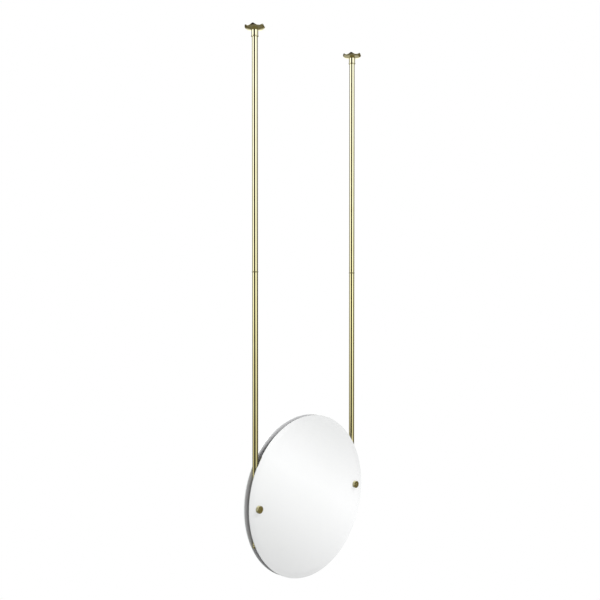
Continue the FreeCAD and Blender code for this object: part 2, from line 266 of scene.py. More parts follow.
def backPaintWithShade():
    # Grey paint rolled over the silver, with a slight orange-peel skin. Painted shade: paler towards the
    # glass's edge and darker inwards, as the gap between the glasses shades it, and darker towards the
    # bottom
    make = paintFinish
    material, tree, shader = newMaterial("grey back paint with painted shade")
    place = objectPlace(tree)
    drift = noise(tree, place, make["driftScale"], make["driftDetail"])
    flat = objectPlace(tree, (1, 0, 1), (0, 0, -boltPoint("left").z))
    radius = vectorMaths(tree, "LENGTH", flat)
    height = addNode(tree, "ShaderNodeSeparateXYZ", {"Vector": flat}).outputs["Z"]
    # painted shade: paler at the glass's edge, darker inwards where the gap between the glasses shades it
    border = spread(tree, radius, *make["border"], *make["borderShadeTone"])
    # painted shade: darker towards the bottom, as light falls into the gap from above
    lower = spread(tree, height, *make["lower"], *make["lowerShadeTone"])
    tone = maths(tree, "MULTIPLY", border, lower)
    # the painted shade scales the paint's own grey
    colour = scaled(tree, twoShades(tree, drift, make["shades"]), tone)
    tree.links.new(colour, shader.inputs["Base Color"])
    peel = noise(tree, place, make["peelScale"], make["peelDetail"])
    roughenBy(tree, shader, peel, make["rough"])
    bump(tree, shader, peel, *make["bump"])
    return material


# painted shade: colours of the dark strip on the rear of the glass's edge
shadeStripFinish = {
    "shades": ((0.05, 0.05, 0.052), (0.075, 0.075, 0.077)),
    "streaks": (40, 1500, 40),
    "rough": (0.45, 0.6),
    "bump": (0.1, 0.1 * mm),
}


def paintedEdgeShade():
    # Painted shade: a dark strip along the rear of a glass's edge, where the gap between the glasses is
    # darkest, with fine streaks in it
    make = shadeStripFinish
    material, tree, shader = newMaterial("painted dark edge shade")
    streaks = noise(tree, objectPlace(tree, make["streaks"]), 1.0)
    tree.links.new(twoShades(tree, streaks, make["shades"]), shader.inputs["Base Color"])
    roughenBy(tree, shader, streaks, make["rough"])
    bump(tree, shader, streaks, *make["bump"])
    return material


rubberFinish = {
    "shades": ((0.018, 0.018, 0.019), (0.035, 0.035, 0.036)),
    "cloudScale": 120.0,
    "grainScale": 1500.0,
    "rough": (0.62, 0.82),
    "bump": (0.3, 0.1 * mm),
}


def blackRubber():
    # Moulded rubber: cloudy black with a fine grain
    make = rubberFinish
    material, tree, shader = newMaterial("black rubber")
    place = objectPlace(tree)
    cloud = noise(tree, place, make["cloudScale"])
    tree.links.new(twoShades(tree, cloud, make["shades"]), shader.inputs["Base Color"])
    grain = noise(tree, place, make["grainScale"])
    roughenBy(tree, shader, grain, make["rough"])
    bump(tree, shader, grain, *make["bump"])
    return material


nylonFinish = {
    "shades": ((0.74, 0.72, 0.65), (0.82, 0.80, 0.74)),
    "hazeScale": 260.0,
    "rough": (0.34, 0.48),
    "bump": (0.1, 0.1 * mm),
}


def naturalNylon():
    # Undyed nylon: milky, with a slight haze
    make = nylonFinish
    material, tree, shader = newMaterial("natural nylon")
    haze = noise(tree, objectPlace(tree), make["hazeScale"])
    tree.links.new(twoShades(tree, haze, make["shades"]), shader.inputs["Base Color"])
    roughenBy(tree, shader, haze, make["rough"])
    bump(tree, shader, haze, *make["bump"])
    return material


steelFinish = {
    "shades": ((0.56, 0.57, 0.58), (0.68, 0.69, 0.70)),
    "spangleScale": 400.0,
    "threadScale": 210.0,
    "rough": (0.24, 0.38),
    "bump": (0.6, 0.6 * mm),
}


def platedSteel():
    # Zinc-plated stud: the thread shows as level rings along the rod's axis
    make = steelFinish
    material, tree, shader = newMaterial("zinc plated steel")
    place = objectPlace(tree)
    spangle = noise(tree, place, make["spangleScale"])
    tree.links.new(twoShades(tree, spangle, make["shades"]), shader.inputs["Base Color"])
    roughenBy(tree, shader, spangle, make["rough"])
    shader.inputs["Metallic"].default_value = 1.0
    thread = addNode(tree, "ShaderNodeTexWave", {"Vector": place, "Scale": make["threadScale"]},
                     bands_direction="Z")
    bump(tree, shader, thread.outputs["Fac"], *make["bump"])
    return material


finishes = {
    "tube": polishedBrass("drawn brass tube", "tube"),
    "cast": polishedBrass("polished cast brass", "cast"),
    "turned": turnedBrass(),
    "silver": silveredFace(),
    "edge": groundEdge(),
    "paint": backPaintWithShade(),
    "shadeStrip": paintedEdgeShade(),
    "rubber": blackRubber(),
    "nylon": naturalNylon(),
    "steel": platedSteel(),
}
print("finishes:", len(finishes))


# Surfaces

def softOutline(corners, steps=8, guard=0.05 * mm):
    # Each corner is (radius, height, rounding); radius and height may be arrays, one value a column.
    # A rounded corner becomes an arc tangent to its two sides, with a guard row just past each end.
    columns = max(np.size(value) for corner in corners for value in corner[:2])
    points = np.array([[np.broadcast_to(value, columns) for value in corner[:2]] for corner in corners])
    points = points.transpose(0, 2, 1)
    rows = []
    for i, corner in enumerate(corners):
        here, rounding = points[i], corner[2]
        if rounding == 0:
            rows.append(here)
            continue
        back = points[i - 1] - here
        ahead = points[(i + 1) % len(points)] - here
        back = back / np.linalg.norm(back, axis=1, keepdims=True)
        ahead = ahead / np.linalg.norm(ahead, axis=1, keepdims=True)
        halfAngle = np.arccos(np.clip((back * ahead).sum(1), -1, 1))[:, None] / 2
        reach = rounding / np.tan(halfAngle)
        middle = back + ahead
        centre = here + middle / np.linalg.norm(middle, axis=1, keepdims=True) * rounding / np.sin(halfAngle)
        first = (here + back * reach - centre) / rounding
        last = (here + ahead * reach - centre) / rounding
        sweep = np.pi - 2 * halfAngle
        rows.append(here + back * (reach + guard))
        for share in np.linspace(0, 1, steps + 1):
            turn = (np.sin((1 - share) * sweep) * first + np.sin(share * sweep) * last) / np.sin(sweep)
            rows.append(centre + turn * rounding)
        rows.append(here + ahead * (reach + guard))
    return np.array(rows)


def gridFaces(index, closed):
    # Four-sided faces between neighbouring rows of point numbers; each row closes on itself
    here, above = (index, np.roll(index, -1, 0)) if closed else (index[:-1], index[1:])
    faces = np.stack([here, np.roll(here, -1, 1), np.roll(above, -1, 1), above], -1)
    return faces.reshape(-1, 4).tolist()


def turnedShell(rows, angles):
    # Carries an outline round the Z axis: x = radius cos(angle), y = radius sin(angle), z = height.
    # An outline that starts and ends on the axis closes in fans there, any other closes on itself.
    count = len(angles)
    rows = np.broadcast_to(rows, (len(rows), count, 2))
    onAxis = np.allclose(rows[[0, -1], :, 0], 0)
    ring = rows[1:-1] if onAxis else rows
    radius, height = ring[..., 0], ring[..., 1]
    points = np.stack([radius * np.cos(angles), radius * np.sin(angles), height], -1).reshape(-1, 3)
    index = np.arange(len(points)).reshape(len(ring), count)
    faces = gridFaces(index, not onAxis)
    if onAxis:
        ends = [[0, 0, rows[0, 0, 1]], [0, 0, rows[-1, 0, 1]]]
        for end, edge in ((len(points), index[0]), (len(points) + 1, index[-1])):
            fan = np.stack([np.roll(edge, -1), edge, np.full(count, end)], -1)
            faces += fan.tolist()
        points = np.concatenate([points, ends])
    return points, faces


def evenAngles(count):
    return np.arange(count) * 2 * np.pi / count


foldAngle = 30  # degrees; a sharper fold keeps its edge


def shadeSoftly(mesh, sharpAngle):
    mesh.polygons.foreach_set("use_smooth", np.ones(len(mesh.polygons), bool))
    mesh.set_sharp_from_angle(angle=math.radians(sharpAngle))


def makePiece(name, points, faces, finish, turn=Matrix(), at=(0, 0, 0), sharpAngle=foldAngle):
    mesh = bpy.data.meshes.new(name)
    mesh.from_pydata(points.tolist(), [], faces)
    mesh.transform(Matrix.Translation(at) @ turn)
    shell = bmesh.new()
    shell.from_mesh(mesh)
    bmesh.ops.recalc_face_normals(shell, faces=shell.faces)
    shell.to_mesh(mesh)
    shell.free()
    mesh.materials.append(finishes[finish])
    shadeSoftly(mesh, sharpAngle)
    piece = bpy.data.objects.new(name, mesh)
    bpy.context.scene.collection.objects.link(piece)
    return piece


def drill(piece, radius, start, end, sharpAngle=foldAngle, columns=48):
    # Takes a round hole out of a piece, from one point to another, and keeps the result as its mesh
    axis = Vector(end) - Vector(start)
    outline = [(0, 0, 0), (radius, 0, 0), (radius, axis.length, 0), (0, axis.length, 0)]
    points, faces = turnedShell(softOutline(outline), evenAngles(columns))
    turn = axis.to_track_quat("Z", "Y").to_matrix().to_4x4()
    cutter = makePiece("drill", points, faces, "steel", turn, start)
    cut = piece.modifiers.new("drill", "BOOLEAN")
    cut.operation = "DIFFERENCE"
    cut.solver = "EXACT"
    cut.object = cutter
    graph = bpy.context.evaluated_depsgraph_get()
    drilled = bpy.data.meshes.new_from_object(piece.evaluated_get(graph), depsgraph=graph)
    piece.modifiers.clear()
    piece.data = drilled
    bpy.data.objects.remove(cutter)
    shadeSoftly(drilled, sharpAngle)


def drillForBolt(piece, side, make, sharpAngle=foldAngle):
    # The clamp bolt's hole, from in front of the piece to behind it
    reach = make["drillReach"]
    drill(piece, make["boltHole"], boltPoint(side, -reach), boltPoint(side, reach), sharpAngle)


def seat(piece, body, slot, *nodes):
    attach(piece, body)
    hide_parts(*nodes)


# Rods

rodMake = {
    "wall": 1.2 * mm,
    "endRound": 0.25 * mm,
    "ringRound": 1.9 * mm,
    "boltHole": 3.35 * mm,
    "drillReach": 20 * mm,
    "studHole": 5.05 * mm,
    "capPlug": 8.275 * mm,
    "capPlugLength": 12 * mm,
    "capSeat": 1 * mm,
    "capNeck": 7 * mm,
    "capGroove": 0.8 * mm,
    "capBead": 5.6 * mm,
    "capEdge": 2.2 * mm,
    "capRound": 6 * mm,
    "columns": 128,
}


def sleeve(name, node, bore, edge, finish):
    # Outside, bore and rounded outer edges as one closed outline, turned round the rod's axis
    radius, length = outerRadius(node), tallness(node)
    rows = softOutline([(bore, 0, 0), (radius, 0, edge), (radius, -length, edge), (bore, -length, 0)])
    points, faces = turnedShell(rows, evenAngles(rodMake["columns"]))
    return makePiece(name, points, faces, finish, at=rodPoint(node))


def rodTube(name, node):
    return sleeve(name, node, outerRadius(node) - rodMake["wall"], rodMake["endRound"], "tube")


def jointRing(name, node):
    return sleeve(name, node, rodMake["studHole"], rodMake["ringRound"], "cast")


def endCap(name, node):
    # Plug inside the tube, a seat as wide as the tube, then a bead between two grooves and a dome
    make = rodMake
    radius, height = outerRadius(node), tallness(node)
    plug, neck, fine, soft = make["capPlug"], make["capNeck"], make["endRound"], make["capEdge"]
    seatTop = -make["capPlugLength"]
    seatEnd = seatTop - make["capSeat"]
    beadTop = seatEnd - make["capGroove"]
    beadEnd = beadTop - make["capBead"]
    domeTop = beadEnd - make["capGroove"]
    rows = softOutline([
        (0, 0, 0),
        (plug, 0, fine),
        (plug, seatTop, 0),
        (radius, seatTop, fine),
        (radius, seatEnd, fine),
        (neck, seatEnd, 0),
        (neck, beadTop, 0),
        (radius, beadTop, soft),
        (radius, beadEnd, soft),
        (neck, beadEnd, 0),
        (neck, domeTop, 0),
        (radius, domeTop, soft),
        (radius, -height, make["capRound"]),
        (0, -height, 0),
    ])
    points, faces = turnedShell(rows, evenAngles(make["columns"]))
    return makePiece(name, points, faces, "cast", at=rodPoint(node))


for side in sides:
    upper = rodTube(side + "UpperRod", side + "_upper_tube")
    seat(upper, "hanger", "polished_brass", side + "_upper_tube")
    lower = rodTube(side + "LowerRod", side + "_lower_tube")
    drillForBolt(lower, side, rodMake)
    seat(lower, "hanger", "polished_brass", side + "_lower_tube")
    ring = jointRing(side + "JointRing", side + "_joint_ring")
    seat(ring, "hanger", "polished_brass", side + "_joint_ring")
    cap = endCap(side + "EndCap", side + "_end_cap")
    seat(cap, "hanger", "polished_brass", side + "_end_cap")
print("rods made")


# Ceiling flanges

flangeMake = {
    "feet": 6,
    "turn": math.radians(5.6),
    "bowlCorner": 9.7 * mm,
    "bowlRound": 9 * mm,
    "bowlDepth": 13.2 * mm,
    "bowlFoot": 14 * mm,
    "cove": 2 * mm,
    "collarRadius": 11 * mm,
    "beadRadius": 12 * mm,
    "beadHeight": 3.6 * mm,
    "scallopDepth": 6 * mm,
    "scallopRadius": 21 * mm,
    "pocketRadius": 27 * mm,
    "pocketDepth": 8.6 * mm,
    "bossRadius": 11 * mm,
    "fixingRadius": 4 * mm,
    "fixingDepth": 12 * mm,
    "socketDepth": 4 * mm,
    "socketRadius": 9.575 * mm,
    "studHole": 5.05 * mm,
    "studDepth": 16 * mm,
    "edgeRound": 0.35 * mm,
    "softRound": 0.6 * mm,
    "wallSteps": (0.28, 0.5, 0.72),
    "bowlSteps": (0.16, 0.23, 0.3, 0.38, 0.46, 0.54, 0.62, 0.7, 0.78, 0.86, 0.93, 1.0),
    "settleRounds": 8,
    "columns": 360,
}


def scallopEdge(radius, angles):
    # How far the wall's top lies below the ceiling: a round hollow between two feet,
    # depth = sqrt(hollow radius squared - sideways squared) - height of the hollow's centre, never above 0
    make = flangeMake
    pitch = 2 * np.pi / make["feet"]
    sideways = radius * np.sin((angles - make["turn"] + pitch / 2) % pitch - pitch / 2)
    centre = make["scallopRadius"] - make["scallopDepth"]
    return np.maximum(np.sqrt(make["scallopRadius"]**2 - sideways**2) - centre, 0)


def ceilingFlange(name, node):
    # A bowl turned round the rod's axis, whose wall follows the scallops: its upper part is an upright wall,
    # then an arc of the bowl's rounding, then a slope to the foot where the collar starts
    make = flangeMake
    low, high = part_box(node)
    rim, height = (high.y - low.y) / 2, high.z - low.z
    angles = evenAngles(make["columns"])
    fall = math.atan2(make["bowlDepth"] - make["bowlCorner"], rim - make["bowlFoot"])
    arcEnd = np.pi / 2 - fall
    arcAcross = rim - make["bowlRound"]
    arcDown = make["bowlCorner"] - make["bowlRound"] / math.tan((np.pi / 2 + fall) / 2)
    edge = np.zeros_like(angles)
    for _ in range(make["settleRounds"]):  # wall top and bowl radius settle on each other
        arcStart = np.arcsin(np.clip((edge - arcDown) / make["bowlRound"], 0, 1))
        outer = arcAcross + make["bowlRound"] * np.cos(arcStart)
        edge = scallopEdge(outer, angles)
    wall = [make["pocketRadius"] + (outer - make["pocketRadius"]) * share for share in make["wallSteps"]]
    arcs = [arcStart + (arcEnd - arcStart) * share for share in make["bowlSteps"]]
    beadTop, socketTop = make["beadHeight"] - height, make["socketDepth"] - height
    fine, soft = make["edgeRound"], make["softRound"]
    rows = softOutline([
        (0, -make["fixingDepth"], 0),
        (make["fixingRadius"], -make["fixingDepth"], 0),
        (make["fixingRadius"], 0, fine),
        (make["bossRadius"], 0, fine),
        (make["bossRadius"], -make["pocketDepth"], soft),
        (make["pocketRadius"], -make["pocketDepth"], fine),
        (make["pocketRadius"], -scallopEdge(make["pocketRadius"], angles), fine),
        *[(radius, -scallopEdge(radius, angles), 0) for radius in wall],
        (outer, -edge, fine),
        *[(arcAcross + make["bowlRound"] * np.cos(turn), -arcDown - make["bowlRound"] * np.sin(turn), 0)
          for turn in arcs],
        (make["bowlFoot"], -make["bowlDepth"], soft),
        (make["collarRadius"], -make["bowlDepth"], make["cove"]),
        (make["collarRadius"], beadTop, fine),
        (make["beadRadius"], beadTop, soft),
        (make["beadRadius"], -height, make["beadRadius"] - make["collarRadius"]),
        (make["socketRadius"], -height, fine),
        (make["socketRadius"], socketTop, 0),
        (make["studHole"], socketTop, 0),
        (make["studHole"], socketTop + make["studDepth"], 0),
        (0, socketTop + make["studDepth"], 0),
    ])
    points, faces = turnedShell(rows, angles)
    return makePiece(name, points, faces, "cast", at=rodPoint(node))


for side in sides:
    node = side + "_ceiling_flange"
    seat(ceilingFlange(side + "Flange", node), "hanger", "polished_brass", node)
print("ceiling flanges made")


# Mirror glasses

glassMake = {
    "bevelWidth": 19 * mm,
    "edgeLand": 4 * mm,
    "arris": 0.3 * mm,
    # width of the dark strip of painted shade along the rear of the front glass's edge
    "shadeStripWidth": 1.8 * mm,
    "boltHole": 5 * mm,
    "drillReach": 40 * mm,
    "columns": 360,
    "sharpAngle": 1.5,
    "squareOn": 0.9,  # a face that looks this straight out or back isn't part of the edge
}


def polygonValues(mesh, key):
    values = np.empty(len(mesh.polygons) * 3)
    mesh.polygons.foreach_get(key, values)
    return values.reshape(-1, 3)


def mirrorGlass(name, node, turn):
    # Disc with a wide ground bevel: flat back, narrow upright edge, sloping border, flat face.
    # The back is painted and the front silvered. The upright edge and the holes stay bare, apart from a dark
    # strip of painted shade along the rear of the front glass's edge.
    make = glassMake
    low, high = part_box(node)
    radius, thick = (high.x - low.x) / 2, high.y - low.y
    backY = high.y if turn is frontFacing else low.y
    slope = (thick - make["edgeLand"]) / make["bevelWidth"]
    rows = softOutline([
        (0, 0, 0),
        (radius - make["arris"], 0, 0),
        (radius, make["arris"], 0),
        (radius, make["shadeStripWidth"], 0),
        (radius, make["edgeLand"] - make["arris"], 0),
        (radius - make["arris"], make["edgeLand"] + make["arris"] * slope, 0),
        (radius - make["bevelWidth"], thick, 0),
        (0, thick, 0),
    ])
    points, faces = turnedShell(rows, evenAngles(make["columns"]))
    centre = Vector(((low.x + high.x) / 2, backY, (low.z + high.z) / 2))
    glass = makePiece(name, points, faces, "silver", turn, centre, make["sharpAngle"])
    for side in sides:
        drillForBolt(glass, side, make, make["sharpAngle"])
    mesh = glass.data
    for finish in ("edge", "paint", "shadeStrip"):
        mesh.materials.append(finishes[finish])
    silver, edge, paint, shadeStrip = range(len(mesh.materials))
    outward = polygonValues(mesh, "normal")[:, 1] * (-1 if turn is frontFacing else 1)
    depth = np.abs(polygonValues(mesh, "center")[:, 1] - backY)
    kind = np.where(outward < -make["squareOn"], paint, np.where(outward < make["squareOn"], edge, silver))
    # painted shade: the rear strip of the front glass's edge takes the dark shade finish
    if turn is frontFacing:
        kind[(kind == edge) & (depth < make["shadeStripWidth"])] = shadeStrip
    mesh.polygons.foreach_set("material_index", kind.astype(np.int32))
    return glass


for face, turn in (("front", frontFacing), ("rear", rearFacing)):
    node = face + "_mirror"
    seat(mirrorGlass(face + "Glass", node, turn), "hanger", "mirror_glass", node)
print("mirror glasses made")


# Clamp knobs

knobMake = {
    "height": 9.5 * mm,
    "round": 1.4 * mm,
    "rimWidth": 2.9 * mm,
    "dish": 0.6 * mm,
    "buttonRadius": 4.5 * mm,
    "fine": 0.2 * mm,
    "tappedRadius": 3.05 * mm,
    "tappedDepth": 7 * mm,
    "columns": 128,
}

boltMake = {
    "radius": 3 * mm,
    "pitch": 1 * mm,
    "threadDepth": 0.55 * mm,
    "threadLength": 21 * mm,
    "chamfer": 0.6 * mm,
    "rowsPerTurn": 12,
}


def knobFace(radius):
    # Outline of the side, the rounded rim, the sunk ring and the button, from the glass outwards
    make = knobMake
    top, sunk, fine = make["height"], make["height"] - make["dish"], make["fine"]
    rim = radius - make["rimWidth"]
    return [
        (radius, 0, fine),
        (radius, top, make["round"]),
        (rim, top, fine),
        (rim, sunk, fine),
        (make["buttonRadius"], sunk, fine),
        (make["buttonRadius"], top, fine),
        (0, top, 0),
    ]


def frontKnob(name, node):
    # Cap nut: blind tapped hole from behind, rim, sunk ring and button in front
    low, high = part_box(node)
    tapped, depth = knobMake["tappedRadius"], knobMake["tappedDepth"]
    rows = softOutline([(0, depth, 0), (tapped, depth, 0), (tapped, 0, 0)] + knobFace(outerRadius(node)))
    points, faces = turnedShell(rows, evenAngles(knobMake["columns"]))
    centre = Vector(((low.x + high.x) / 2, high.y, (low.z + high.z) / 2))
    return makePiece(name, points, faces, "turned", frontFacing, centre)


def threadedEnd(angles, start, end):
    # Helical ridge: the radius falls from crest to root and back with height / pitch - angle / full turn
    make = boltMake
    count = int(round((start - end) / make["pitch"] * make["rowsPerTurn"]))
    height = np.linspace(start, end, count)[:, None]
    phase = (height / make["pitch"] - angles[None, :] / (2 * np.pi)) % 1
    fade = np.clip(np.minimum(start - height, height - end) / make["pitch"], 0, 1)
    radius = make["radius"] - make["threadDepth"] * fade * (1 - np.abs(2 * phase - 1))
    return np.stack([radius, np.broadcast_to(height, radius.shape)], -1)


def rearKnobBolt(name, node, frontNode):
    # The same knob with the clamp bolt in one piece: plain shank, then the threaded end
    low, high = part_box(node)
    reach = -(high.y - low.y - knobMake["height"])
    angles = evenAngles(knobMake["columns"])
    shank, chamfer = boltMake["radius"], boltMake["chamfer"]
    thread = threadedEnd(angles, reach + boltMake["threadLength"], reach + chamfer)
    head = softOutline([(shank, 0, 0)] + knobFace(outerRadius(frontNode)))
    tail = softOutline([(0, reach, 0), (shank - chamfer, reach, 0)])
    wide = [np.broadcast_to(part, (len(part), len(angles), 2)) for part in (tail, head)]
    rows = np.concatenate([wide[0], thread[::-1], wide[1]])
    points, faces = turnedShell(rows, angles)
    centre = Vector(((low.x + high.x) / 2, high.y - knobMake["height"], (low.z + high.z) / 2))
    return makePiece(name, points, faces, "turned", rearFacing, centre)


for side in sides:
    front, rear = side + "_front_knob", side + "_rear_knob_bolt"
    knob = frontKnob(side + "FrontKnob", front)
    seat(knob, side + "_knob", "polished_brass", front)
    bolt = rearKnobBolt(side + "RearKnobBolt", rear, front)
    seat(bolt, "hanger", "polished_brass", rear)
    knob.visible_glossy = bolt.visible_glossy = False  # the photo's glass shows the white room alone
print("knobs made")


# Rubber saddles between the rods and the glasses

saddleMake = {
    "hollow": 9.575 * mm,
    "boltHole": 3.35 * mm,
    "drillReach": 20 * mm,
    "endRound": 0.8 * mm,
    "across": 28,
    "along": 8,
}


def rodSaddle(name, node, turn):
    # Across the rod the flat side stays level and the hollow side follows a circle round the rod;
    # along the rod the section is repeated, a little narrower towards its two rounded ends
    make = saddleMake
    low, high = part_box(node)
    halfWidth, halfLength = (high.x - low.x) / 2, (high.z - low.z) / 2
    flat = max(abs(low.y), abs(high.y))
    share = np.cos(np.linspace(np.pi, 0, make["across"]))
    swing = np.linspace(0, np.pi / 2, make["along"])
    ends = halfLength - make["endRound"] * (1 - np.sin(swing))
    inset = make["endRound"] * (1 - np.cos(swing))
    along = np.concatenate([-ends[::-1], ends])
    width = halfWidth - np.concatenate([inset[::-1], inset])
    x = width[:, None] * share[None, :]
    hollow = np.sqrt(make["hollow"]**2 - x**2)
    y = np.broadcast_to(along[:, None], x.shape)
    outer = np.stack([x, y, np.full_like(x, flat)], -1)
    inner = np.stack([x, y, hollow], -1)[:, ::-1]
    loop = np.concatenate([outer, inner], 1)
    index = np.arange(loop.shape[0] * loop.shape[1]).reshape(loop.shape[:2])
    count = make["across"]
    caps = [np.stack([row[:count - 1], row[1:count], row[::-1][1:count], row[::-1][:count - 1]], -1)
            for row in (index[0], index[-1])]
    faces = gridFaces(index, False) + caps[0].tolist() + caps[1].tolist()
    centre = Vector(((low.x + high.x) / 2, 0, (low.z + high.z) / 2))
    return makePiece(name, loop.reshape(-1, 3), faces, "rubber", turn, centre)


for side in sides:
    for face, turn in (("front", frontFacing), ("rear", rearFacing)):
        node = side + "_" + face + "_saddle"
        saddle = rodSaddle(side + face.capitalize() + "Saddle", node, turn)
        drillForBolt(saddle, side, saddleMake)
        seat(saddle, "hanger", "black_rubber", node)
print("saddles made")


# Solids that stay as they are, with their finishes

keptFinishes = {"_plug": "cast", "_stud": "steel", "_bushing": "nylon", "_washer": "nylon"}
for name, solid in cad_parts.items():
    for ending, finish in keptFinishes.items():
        if name.endswith(ending):
            solid.data.materials.clear()
            solid.data.materials.append(finishes[finish])
print("inner pieces finished")


# Room: pale floor, white background, soft studio light

roomMake = {
    "floorHeight": -2.44,
    "floorRadius": 12.0,
    "floorThick": 0.02,
    "floorColumns": 128,
    "floorColour": (0.66, 0.66, 0.66),
    "floorFleck": 0.985,
    "floorGrain": 30.0,
    "floorGlow": 0.02,
    "shadowRadius": 0.8,
    "whiteRadius": 1.3,
    "softLight": 0.54,
    "softLean": (-1.5, 0.0, 1.1),
    "softSpan": (-0.75, 2.0),
    "softTone": (0.25, 3.0),
}


def mixShaders(tree, factor, first, second):
    return addNode(tree, "ShaderNodeMixShader", {0: factor, 1: first, 2: second}).outputs[0]


def floorFinish():
    # Matt and pale; the camera sees it run out into plain white round the object's shadow
    make = roomMake
    material, tree, shader = newMaterial("pale floor")
    output = tree.nodes["Material Output"]
    tree.nodes.remove(shader)
    grain = noise(tree, objectPlace(tree), make["floorGrain"])
    fleck = tuple(value * make["floorFleck"] for value in make["floorColour"])
    colour = twoShades(tree, grain, (make["floorColour"], fleck))
    matt = addNode(tree, "ShaderNodeBsdfDiffuse", {"Color": colour}).outputs[0]
    glow = addNode(tree, "ShaderNodeEmission", {"Strength": make["floorGlow"]}).outputs[0]
    near = addNode(tree, "ShaderNodeAddShader", {0: matt, 1: glow}).outputs[0]
    white = addNode(tree, "ShaderNodeEmission", {"Strength": 1.0}).outputs[0]
    radius = vectorMaths(tree, "LENGTH", objectPlace(tree, (1, 1, 0)))
    away = addNode(tree, "ShaderNodeMapRange", {"Value": radius, "From Min": make["shadowRadius"],
                                                "From Max": make["whiteRadius"]},
                   interpolation_type="SMOOTHSTEP").outputs["Result"]
    seen = mixShaders(tree, away, near, white)
    path = addNode(tree, "ShaderNodeLightPath").outputs
    tree.links.new(mixShaders(tree, path["Is Camera Ray"], matt, seen), output.inputs["Surface"])
    return material


def paleFloor():
    # A round slab, as an outline turned round the Z axis
    make = roomMake
    radius, under = make["floorRadius"], -make["floorThick"]
    rows = softOutline([(0, 0, 0), (radius, 0, 0), (radius, under, 0), (0, under, 0)])
    points, faces = turnedShell(rows, evenAngles(make["floorColumns"]))
    mesh = bpy.data.meshes.new("floor")
    mesh.from_pydata(points.tolist(), [], faces)
    mesh.transform(Matrix.Translation((0, 0, make["floorHeight"])))
    mesh.materials.append(floorFinish())
    floor = bpy.data.objects.new("floor", mesh)
    bpy.context.scene.collection.objects.link(floor)
    floor.visible_glossy = False
    floor.visible_transmission = False


# What polished brass sees round the room. Each band lies at a height of the looking direction, has a tint,
# and lists (angle from the camera to the right, in degrees, brightness). Dark places turn warm, and the
# floor and the ceiling are dark.
studio = {
    "cameraAngle": -135.6,
    "low": {
        "up": -0.28,
        "tint": (1.0, 0.94, 0.58),
        "tones": [(-180, 0.17), (-165, 0.1), (-98, 0.08), (-93, 0.44), (-56, 0.27), (-48, 0.02),
                  (14, 0.02), (23, 0.5), (46, 0.45), (54, 0.2), (112, 0.16), (122, 0.07), (180, 0.17)],
    },
    "level": {
        "up": -0.03,
        "tint": (1.0, 1.01, 0.93),
        "tones": [(-180, 1.5), (-169, 1.5), (-162, 0.1), (-98, 0.05), (-94, 1.25), (-50, 1.25),
                  (-44, 0.02), (12, 0.02), (24, 1.6), (46, 1.5), (54, 0.9), (67, 0.8), (73, 0.04),
                  (116, 0.04), (128, 0.2), (162, 0.2), (168, 1.5), (180, 1.5)],
    },
    "high": {
        "up": 0.26,
        "tint": (1.0, 1.05, 1.28),
        "tones": [(-180, 0.1), (-122, 0.1), (-102, 0.22), (-95, 1.55), (-50, 1.45), (-39, 0.02),
                  (6, 0.02), (12, 0.8), (22, 1.5), (46, 1.4), (56, 0.9), (92, 1.0), (102, 0.2),
                  (124, 0.08), (180, 0.1)],
    },
    "darkTint": (1.0, 0.8, 0.35),
    "paleFrom": 0.5,
    "floorTone": (0.17, 0.16, 0.14),
    "floorFrom": -0.62,
    "floorTo": -0.42,
    "ceilingTone": (0.15, 0.14, 0.11),
    "ceilingFrom": 0.3,
    "ceilingTo": 0.5,
    "brightest": 2.0,
}

# What the mirrors see: a white room with a bright band slanting across it. The two axes measure how far a
# looking direction lies from the middle of the face's own view, 1 at the face's edge; beyond that the room
# changes little, so the bevel stays faint. The sides list brightness by angle, with two dim corners where
# the glasses' edges look when they are seen from the side. The gap and the floor count only for what comes
# to a mirror by way of the brass.
mirrorRoom = {
    "across": (19.741, 0.0, 0.0),
    "acrossMiddle": 13.732,
    "upward": (-10.682, 0.0, 12.748),
    "upwardMiddle": -10.577,
    "slant": (0.0808, 0.0686, 0.0),
    "slantMiddle": -0.008,
    "beyond": 0.25,
    "reach": 0.5,
    "tones": [(-0.5, 0.54), (-0.2, 0.58), (-0.1, 0.675), (-0.03, 0.9), (0.01, 1.0), (0.03, 0.97),
              (0.085, 0.785), (0.2, 0.725), (0.5, 0.705)],
    "sides": [(-180, 1.6), (-62, 1.6), (-53, 0.5), (-36, 0.5), (-26, 1.1), (38, 1.0), (116, 1.0),
              (126, 0.5), (146, 0.5), (156, 1.4), (180, 1.6)],
    "gap": [(-180, 1.0), (-60, 1.0), (-24, 0.42), (24, 0.38), (38, 1.0), (180, 1.0)],
    "floorSides": [(-180, 1.0), (-60, 1.0), (-30, 0.0), (105, 0.0), (125, 1.0), (180, 1.0)],
    "floorShade": 0.22,
    "floorFrom": -0.58,
    "floorTo": -0.4,
}


def setColour(tree, socket, colour):
    if isinstance(colour, bpy.types.NodeSocket):
        tree.links.new(colour, socket)
    else:
        socket.default_value = (*colour, 1)


def mixColour(tree, factor, first, second):
    # A mix node's colours go in at sockets 6 and 7 and come out at 2
    node = addNode(tree, "ShaderNodeMix", {0: factor}, data_type="RGBA")
    setColour(tree, node.inputs[6], first)
    setColour(tree, node.inputs[7], second)
    return node.outputs[2]


def background(tree, colour, strength):
    node = addNode(tree, "ShaderNodeBackground", {"Strength": strength})
    setColour(tree, node.inputs["Color"], colour)
    return node.outputs[0]


def toneRamp(tree, value, stops, low, high):
    # Colour along a range, as shares of the brightest tone
    share = spread(tree, value, low, high, 0.0, 1.0)
    shades = [((at - low) / (high - low), tuple(np.array(colour) / studio["brightest"]))
              for at, colour in stops]
    return ramp(tree, share, shades)


